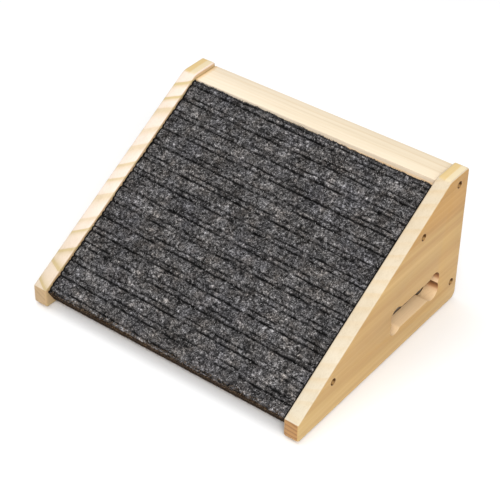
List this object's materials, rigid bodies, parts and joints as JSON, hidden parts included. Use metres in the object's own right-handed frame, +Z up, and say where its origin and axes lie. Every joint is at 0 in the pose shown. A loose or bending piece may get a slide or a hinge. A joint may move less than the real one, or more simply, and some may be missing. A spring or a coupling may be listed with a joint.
{
  "type": "dog ramp",
  "caption": "Low indoor pet ramp: pine side panels with bone-shaped hand-holds, a ribbed felt carpet on a sloping board, cross rails, countersunk screws and floor pads.",
  "frame": {"origin": "on the floor in the middle of the footprint", "axes": "+X across the ramp's width, +Y from the low front end to the high rear end, +Z up"},
  "size_m": [0.36, 0.3, 0.177],
  "materials": {
    "pine": "clear, sanded, satin; pale pine with fine straight grain",
    "plywood": "unfinished board, hidden under the carpet",
    "carpet_felt": "ribbed needle-punched felt, charcoal with pale flecks",
    "carpet_backing_latex": "matt dark brown latex",
    "blackened_steel": "blackened, dull",
    "rubber": "matt black"
  },
  "bodies": {
    "root": {"left_side_panel": "pine", "right_side_panel": "pine", "top_rail": "pine", "rear_rail": "pine", "ramp_board": "plywood", "carpet_pile": "carpet_felt", "carpet_backing": "carpet_backing_latex", "screw_left_top": "blackened_steel", "screw_left_upper": "blackened_steel", "screw_left_lower": "blackened_steel", "screw_left_rear": "blackened_steel", "pad_left_front": "rubber", "pad_left_rear": "rubber", "screw_right_top": "blackened_steel", "screw_right_upper": "blackened_steel", "screw_right_lower": "blackened_steel", "screw_right_rear": "blackened_steel", "pad_right_front": "rubber", "pad_right_rear": "rubber"}
  },
  "joints": []
}
